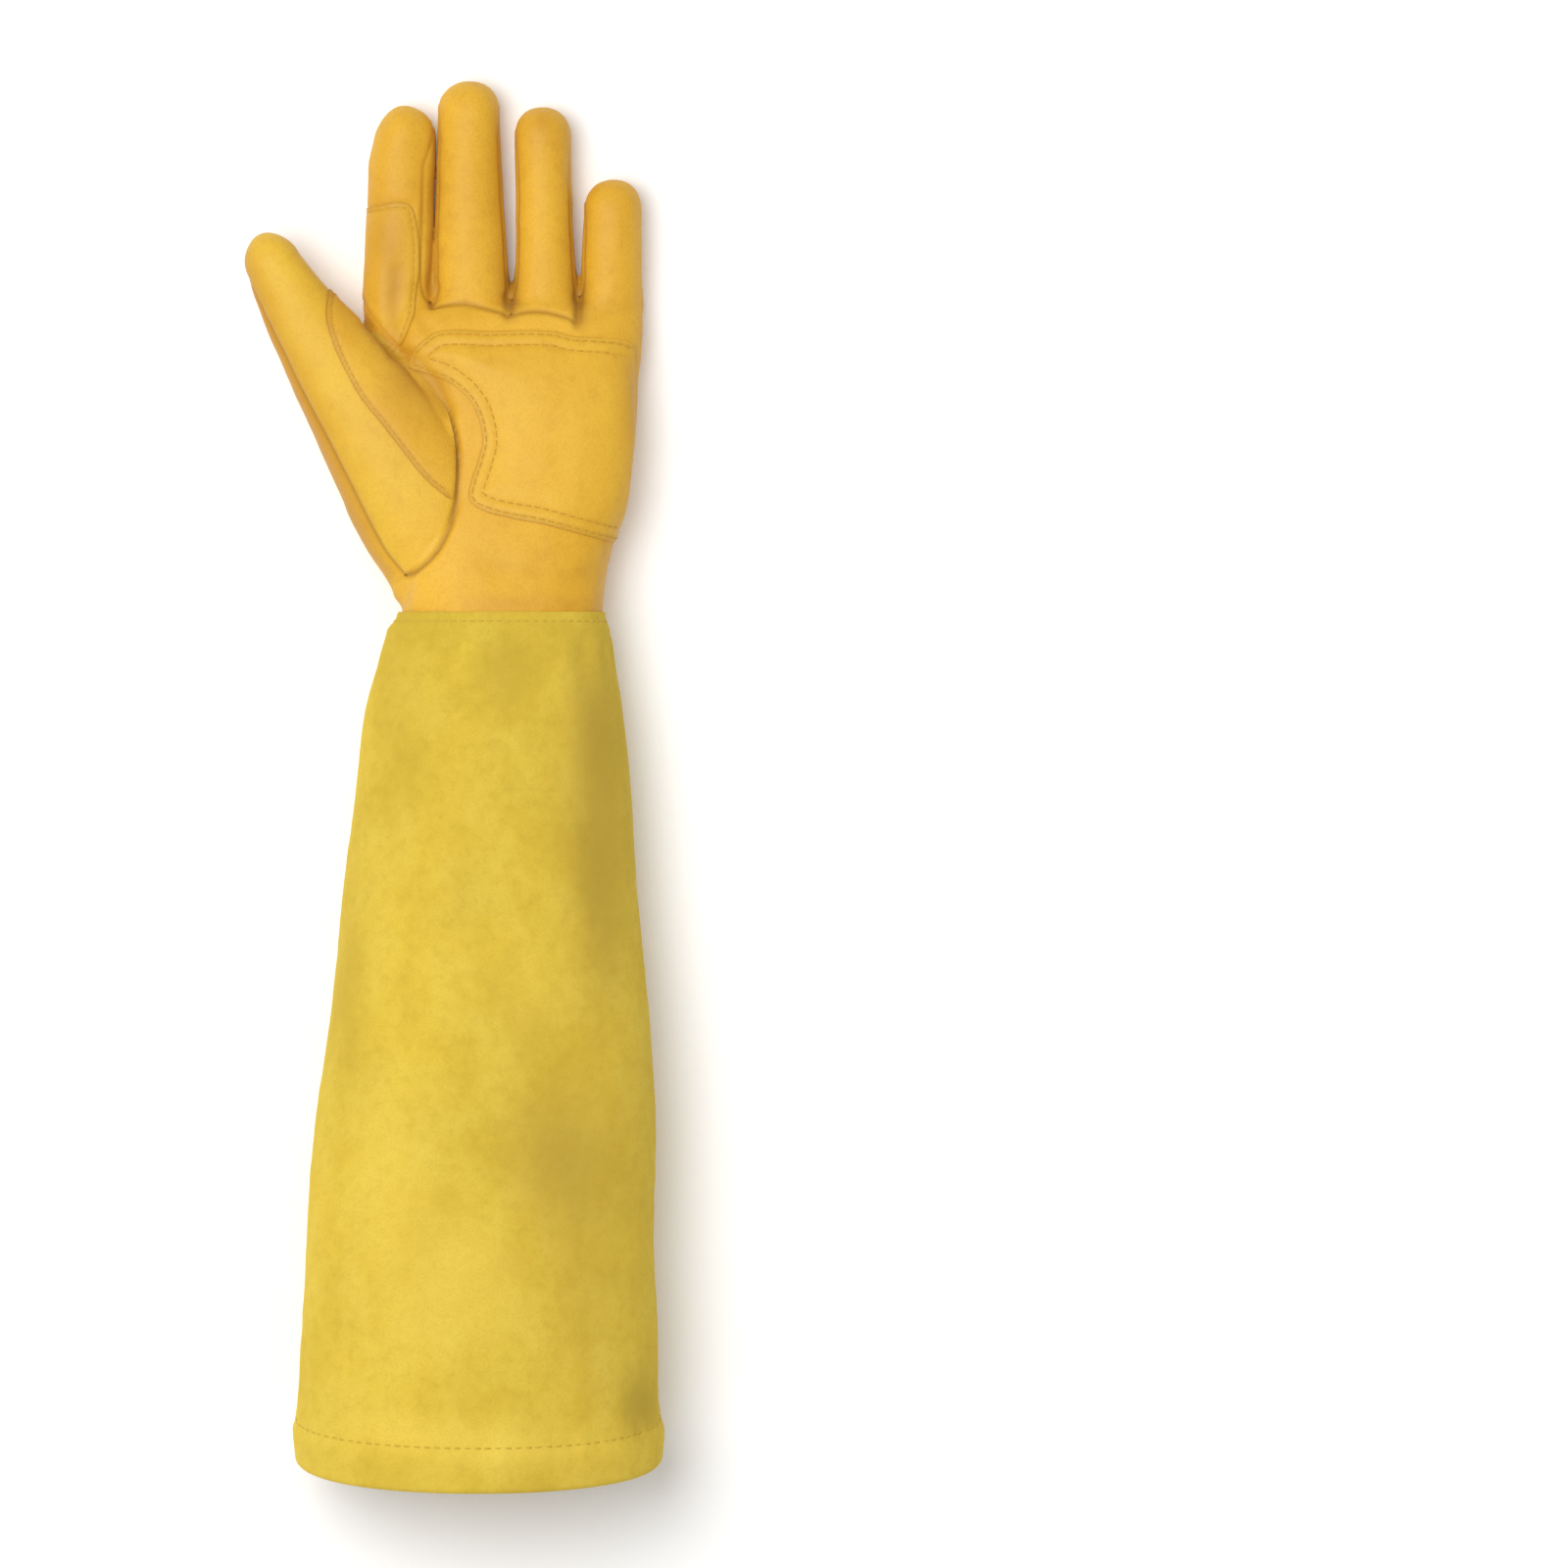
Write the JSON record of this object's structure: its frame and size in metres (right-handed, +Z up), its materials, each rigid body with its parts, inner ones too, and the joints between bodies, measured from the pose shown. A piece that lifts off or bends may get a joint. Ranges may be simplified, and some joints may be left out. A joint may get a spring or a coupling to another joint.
{
  "type": "rose pruning gauntlet",
  "caption": "Long leather work glove for the left hand, with a smooth-grain hand, second layers on palm, thumb and index finger, and a tapered suede sleeve up to the elbow.",
  "frame": {"origin": "middle of the bounding box's underside, on the surface that the gauntlet lies on", "axes": "+Y along the gauntlet, from the sleeve's mouth towards the fingertips; +Z up, out of the palm; the thumb is on the -X side"},
  "size_m": [0.1492, 0.4992, 0.078],
  "materials": {
    "hand_leather": "smooth grain, satin",
    "patch_leather": "smooth grain, satin",
    "sleeve_leather": "brushed split leather, matt"
  },
  "bodies": {
    "root": {"palm_panel": "hand_leather", "middle_finger_front": "hand_leather", "ring_finger_front": "hand_leather", "back_panel": "hand_leather", "gusset_index_middle": "hand_leather", "gusset_middle_ring": "hand_leather", "gusset_ring_little": "hand_leather", "thumb_panel": "hand_leather", "thumb_back_panel": "hand_leather", "palm_patch": "patch_leather", "thumb_crotch_patch": "patch_leather", "index_side_patch": "patch_leather", "sleeve": "sleeve_leather"}
  },
  "joints": []
}
